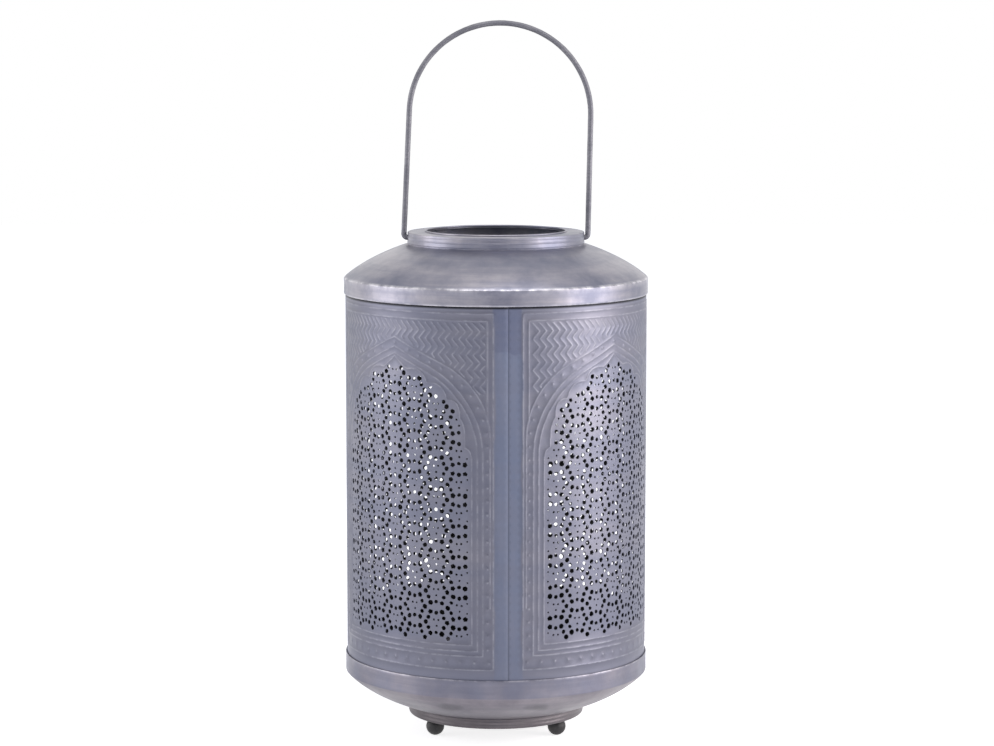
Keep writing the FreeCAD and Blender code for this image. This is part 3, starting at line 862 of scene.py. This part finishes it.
neck = {
    "radius": 87.0, "foot": 485.0, "top": 498.3, "mouth": 68.3, "sheet": 1.2, "edgeTop": 499.95,
    "ribs": [(488.6, 0.30, 0.9), (491.3, -0.22, 0.6), (493.4, 0.12, 0.6), (495.4, -0.20, 0.5)],
    "wallFoot": 485.2, "wallTop": 497.1, "corner": 0.8, "beadR": 0.95, "beadIn": 0.85,
    # the bright rings on the lower rib, the top corner and the bead are rubbed wear and painted
    # highlights
    "wornAndLit": [(488.7, 0.8, 0.9), (498.3, 0.5, 0.6), (499.95, 0.6, 0.8)],
    "pinZ": 492.5, "pinHole": 3.25, "pinReach": 6,
}


def makeNeck():
    n = neck
    outerR, top, mouth, corner = n["radius"], n["top"], n["mouth"], n["corner"]
    innerR, under = outerR - n["sheet"], top - n["sheet"]
    line = ribbedWall(outerR, n["wallFoot"], n["wallTop"], n["ribs"], range(61))
    line += rounded([(outerR, top - 1.1), (outerR, top), (mouth + 3.2, top)], corner, 5)[1:]
    line.append((mouth + 2.2, top + 0.1))
    line += [(mouth + n["beadIn"] + n["beadR"] * math.cos(a),
              n["edgeTop"] - n["beadR"] + n["beadR"] * math.sin(a))
             for a in (math.radians(d) for d in range(-20, 201, 20))]
    line += [(mouth, under), (innerR - corner, under), (innerR, under - corner), (innerR, n["foot"])]
    piece = spunPiece("neck_ribbed", line, material["shoulderMetal"], slot="shoulder_metal",
                      replaces=["neck_collar"], wornAndLit=n["wornAndLit"])
    for side in (-1, 1):
        cutHole(piece, (side * outerR, 0, n["pinZ"]), (1, 0, 0), n["pinHole"], n["pinReach"])


dish = {
    "hole": 5.1, "floor": 25.4, "floorR": 80.6, "pull": (130.0, 40.7), "crease": (150.1, 62.0),
    "top": 80.3, "sheet": 1.2, "flatR": 70, "floorBend": 3, "creaseR": 1.1, "sway": (0.05, 4),
    "lip": [(-0.15, -3), (0.05, -0.8), (-0.25, 0)],  # from the rim's top
    # the bright rings on the lip and the crease are rubbed wear and painted highlights
    "wornAndLit": [(80.3, 0.9, 1.0), (62.3, 0.6, 0.75)],
    "inlet": {"direction": (0, 0.373, -0.928), "radius": 5.1, "reach": 9},
}


def makeDish():
    d = dish
    rim, crease = d["crease"]
    bowl = curve((d["floorR"], d["floor"]), d["pull"], d["crease"], 40)
    line = [(d["hole"], d["floor"])]
    line += rounded([(d["flatR"], d["floor"]), bowl[0], bowl[3]], d["floorBend"], 4)
    line += bowl[4:38]
    line += rounded([bowl[38], (rim, crease + 0.2), (rim - 0.1, crease + 6)],
                    d["creaseR"], 5)
    line += [(rim + r, d["top"] + z) for r, z in d["lip"]]
    piece = spunPiece("dish_spun", thickened(line, d["sheet"]), material["dishMetal"],
                      sway=handSway(*d["sway"]), slot="dish_metal", replaces=["base_dish"],
                      wornAndLit=d["wornAndLit"])
    low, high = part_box("cable_bushing")
    cutHole(piece, (low + high) / 2 / mm, **d["inlet"])


pan = {"radius": 87.0, "foot": 18.0, "top": 27.2, "sheet": 1.2, "wallFoot": 20.0, "wallRows": 30,
       "ribs": [(20.6, 0.28, 1.0), (24.2, 0.28, 1.1)], "flatR": (40, 78), "corner": 1.3}


def makePan():
    p = pan
    r, z = p["radius"], p["foot"]
    line = [(0, z), (p["flatR"][0], z)]
    line += rounded([(p["flatR"][1], z), (r, z), (r, z + 2.4)], p["corner"], 5)
    line += ribbedWall(r, p["wallFoot"], p["top"], p["ribs"], range(p["wallRows"] + 1))[1:]
    spunPiece("pan_ribbed", thickened(line, p["sheet"]), material["shadedPanMetal"], slot="dish_metal",
              replaces=["foot_pan"])


feet = {"radius": 9.0, "circle": 69.6, "places": (-150, -30, 90), "flat": 1.2, "rows": 24}


def makeFeet():
    points, faces = [], []
    r, rows = feet["radius"], feet["rows"]
    cut = math.asin(feet["flat"] / r)
    steps = (cut + (math.pi - 2 * cut) * k / rows for k in range(rows + 1))
    outline = [(0, 0)] + [(r * math.sin(a), r - r * math.cos(a)) for a in steps] + [(0, 2 * r)]
    for place in feet["places"]:
        ball, skin = spin(outline, 40, closed=False)
        dx, dy = (feet["circle"] * f(math.radians(place)) for f in (math.cos, math.sin))
        faces += [tuple(i + len(points) for i in face) for face in skin]
        points += [(x + dx, y + dy, z) for x, y, z in ball]
    addPiece("feet_balls", "lantern", points, faces, [material["ballMetal"]], slot="ball_iron",
             replaces=["ball_feet"])


makeShoulder()
makeNeck()
makeDish()
makePan()
makeFeet()
print("spun pieces and feet are made")


# bail handle
bail = {
    "pivotZ": 492.5, "rise": 212.5, "bar": 5.4, "crownR": 89.0, "lean": 4.0, "bendR": 3.5,
    "start": 87.1, "headAt": 85.3, "sides": 24, "bendSteps": 8, "legSteps": 30, "crownSteps": 40,
    "beat": (0.978, 0.012, 0.009), "facetLimit": 1.03, "sharp": 60,
    "head": [(0, 3.8), (0.3, 4.1), (1.3, 3.9), (1.7, 2.46)],  # inwards, radius
}


# half of the bail's middle line, from its pin to the top of the crown
def bailSide(side):
    b = bail
    crownR, bendR = b["crownR"], b["bendR"]
    crown = Vector((side * b["lean"], b["pivotZ"] + b["rise"] - b["bar"] / 2 - crownR))
    bend = Vector((b["start"], b["pivotZ"] + bendR))
    gap = Vector((bend.x - crown.x, crown.y - bend.y))
    lean = math.atan2(gap.y, gap.x) + math.asin((crownR - bendR) / gap.length)
    path = [(b["headAt"] - 0.2, b["pivotZ"])]
    path += [(bend.x + bendR * math.cos(a), bend.y + bendR * math.sin(a)) for a in
             (-math.pi / 2 + lean * k / b["bendSteps"] for k in range(b["bendSteps"] + 1))]
    leg = Vector((crown.x + crownR * math.sin(lean), crown.y + crownR * math.cos(lean)))
    foot = Vector(path[-1])
    path += [tuple(foot.lerp(leg, k / b["legSteps"])) for k in range(1, b["legSteps"] + 1)]
    path += [(crown.x + crownR * math.sin(a), crown.y + crownR * math.cos(a)) for a in
             (lean * (1 - k / b["crownSteps"]) for k in range(1, b["crownSteps"] + 1))]
    return [(side * x, z) for x, z in path]


def makeBail():
    b = bail
    path = bailSide(-1) + bailSide(1)[-2::-1]
    sides, count = b["sides"], len(path)
    steady, slow, quick = b["beat"]
    points = []
    for i, (x, z) in enumerate(path):
        ax, az = path[max(i - 1, 0)]
        cx, cz = path[min(i + 1, count - 1)]
        length = math.hypot(cx - ax, cz - az)
        nx, nz = -(cz - az) / length, (cx - ax) / length
        pin = i < 2 or i > count - 3
        beat = steady + slow * math.sin(i * 0.9) + quick * math.sin(i * 2.3 + 1)
        for a in turns(sides):
            facet = (a + math.pi / 8) % (math.pi / 4) - math.pi / 8
            r = b["bar"] / 2 * (1 if pin else min(beat / math.cos(facet), b["facetLimit"]))
            points.append((x + nx * r * math.sin(a), r * math.cos(a), z + nz * r * math.sin(a)))
    faces = tubeFaces(0, count, sides)
    for side in (-1, 1):
        first, rings = len(points), len(b["head"])
        for drop, r in b["head"]:
            x = side * (b["headAt"] - drop)
            points += [(x, y, b["pivotZ"] + z) for y, z in around(r, sides)]
        skin = tubeFaces(first, rings, sides)
        skin.append(tuple(range(first + (rings - 1) * sides, first + rings * sides)))
        skin.append(tuple(range(first, first + sides))[::-1])
        faces += skin if side < 0 else [face[::-1] for face in skin]
    faces += endFaces(count, sides)
    addPiece("bail_forged", "bail", points, faces, [material["bailMetal"]], sharp=b["sharp"],
             slot="bail_metal", replaces=["bail_handle"])


makeBail()
print("the bail is made")


# bulb and its cap; the lampholder's pieces stay as the CAD has them
bulb = {
    "radius": 14.8, "foot": 88.35, "top": 183.2, "wall": 0.7, "roundR": 13.5, "index": 1.45,
    "haze": (45, 4), "hazeSpread": (0.3, 0.7, 0.02, 0.07), "clear": (0.96, 0.96, 0.94),
    "dim": (0.91, 0.92, 0.90), "hooks": 7, "coilR": 5.2, "wireFoot": 22, "wireHead": 26,
    "filamentR": 0.16, "leadR": 0.3, "corner": 1,
}


def makeGlass():
    made = bpy.data.materials.new("clearGlass")
    made.use_nodes = True
    tree = made.node_tree
    shader = tree.nodes["Principled BSDF"].inputs
    shader["Transmission Weight"].default_value = 1
    shader["IOR"].default_value = bulb["index"]
    haze = noiseNode(tree, objectPlace(tree), *bulb["haze"])
    tree.links.new(rangeNode(tree, haze, *bulb["hazeSpread"]), shader["Roughness"])
    tree.links.new(mixColor(tree, haze, bulb["clear"], bulb["dim"]), shader["Base Color"])
    return made


def makeBulb():
    b = bulb
    r, foot, top, wall, roundR = (b[key] for key in ("radius", "foot", "top", "wall", "roundR"))
    outer = rounded([(9, foot + 0.05), (r - 1.5, foot + 0.05), (r, foot + 3), (r, top - roundR)],
                    b["corner"], 4)
    outer += [(r - roundR * (1 - math.cos(a)), top - roundR * (1 - math.sin(a)))
              for a in (math.pi / 2 * k / 10 for k in range(1, 11))] + [(0, top)]
    inner = [(max(x - wall, 0), z + (wall if z < foot + 1 else 0) - (wall if x < 5 else 0))
             for x, z in outer]
    points, faces = spin(outer + inner[::-1], 48)
    glass = makeGlass()
    addPiece("bulb_tube", "lantern", points, faces, [glass], slot="bulb_glass",
             replaces=["bulb_glass"])

    # a zigzag of filament on its hooks, round a glass stem
    low, high, coil = foot + b["wireFoot"], top - b["wireHead"], b["coilR"]
    places = [math.pi * k / b["hooks"] for k in range(2 * b["hooks"] + 1)]
    wirePiece("bulb_filament", [(coil * math.cos(a), coil * math.sin(a), low if k % 2 else high)
                                for k, a in enumerate(places)], b["filamentR"])
    for name, side, end in (("bulb_lead_left", -1, low), ("bulb_lead_right", 1, high)):
        wirePiece(name, [(3 * side, 0, foot + 1), (2.4 * side, 0, low - 6), (coil * side, 0, end)],
                  b["leadR"])
    stem = [(0, foot + 0.9), (4.2, foot + 0.9), (3.2, foot + 8), (1.1, low - 8), (0.8, high + 3),
            (1.6, high + 5), (0, high + 6)]
    spunPiece("bulb_stem", stem, glass, segments=24, closed=False, slot="bulb_glass")


def wirePiece(name, path, radius):
    sides, points = 6, []
    for i, here in enumerate(path):
        ahead = Vector(path[min(i + 1, len(path) - 1)]) - Vector(path[max(i - 1, 0)])
        turn = ahead.to_track_quat("Z", "Y")
        points += [tuple(Vector(here) + turn @ Vector((x, y, 0))) for x, y in around(radius, sides)]
    addPiece(name, "lantern", points, tubeFaces(0, len(path), sides) + endFaces(len(path), sides),
             [material["zincSteel"]], slot="cap_metal")


cap = {
    "low": 64.35, "barrelFoot": 67.4, "top": 88.25, "radius": 13.15, "pitch": 3.6, "depth": 0.85,
    "tipR": 5.4, "threadRows": 56, "threadFrom": 68.6, "threadTo": 83.75, "fade": 2.5,
}


def makeCap():
    c = cap
    r, tip, low, foot, top = (c[key] for key in ("radius", "tipR", "low", "barrelFoot", "top"))
    start, stop, rows = c["threadFrom"], c["threadTo"], c["threadRows"]
    line = [(0, low), (tip - 0.8, low), (tip, low + 0.8), (tip, low + 1.9), (r - 2.6, foot - 0.3),
            (r - 1.4, foot + 0.6)]
    line += [(r, start + (stop - start) * k / rows) for k in range(rows + 1)]
    line += [(r - 0.2, top - 3.2), (r - 0.2, top), (0, top)]

    def thread(x, z, angle):
        if x < r - 0.05:
            return x, z
        run = min(max((z - start) / c["fade"], 0), max((stop - z) / c["fade"], 0), 1)
        wave = 0.5 + 0.5 * math.cos(2 * math.pi * z / c["pitch"] - angle)
        return x - c["depth"] * run * wave, z

    spunPiece("cap_threaded", line, material["capMetal"], segments=48, closed=False, sway=thread,
              slot="cap_metal", replaces=["bulb_cap"])


makeBulb()
makeCap()
keptNodes = {
    "blackPlastic": ("cable_bushing", "lampholder_base", "lampholder_sleeve"),
    "glazedInsert": ("lampholder_insert",), "zincSteel": ("threaded_nipple", "nipple_nut"),
    "contactBrass": ("socket_sleeve", "centre_contact"),
}
for look, names in keptNodes.items():
    for node in (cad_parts[name] for name in names):
        if not node.material_slots:
            node.data.materials.append(material[look])
        for slot in node.material_slots:
            slot.material = material[look]
print("bulb, cap and lampholder are finished")
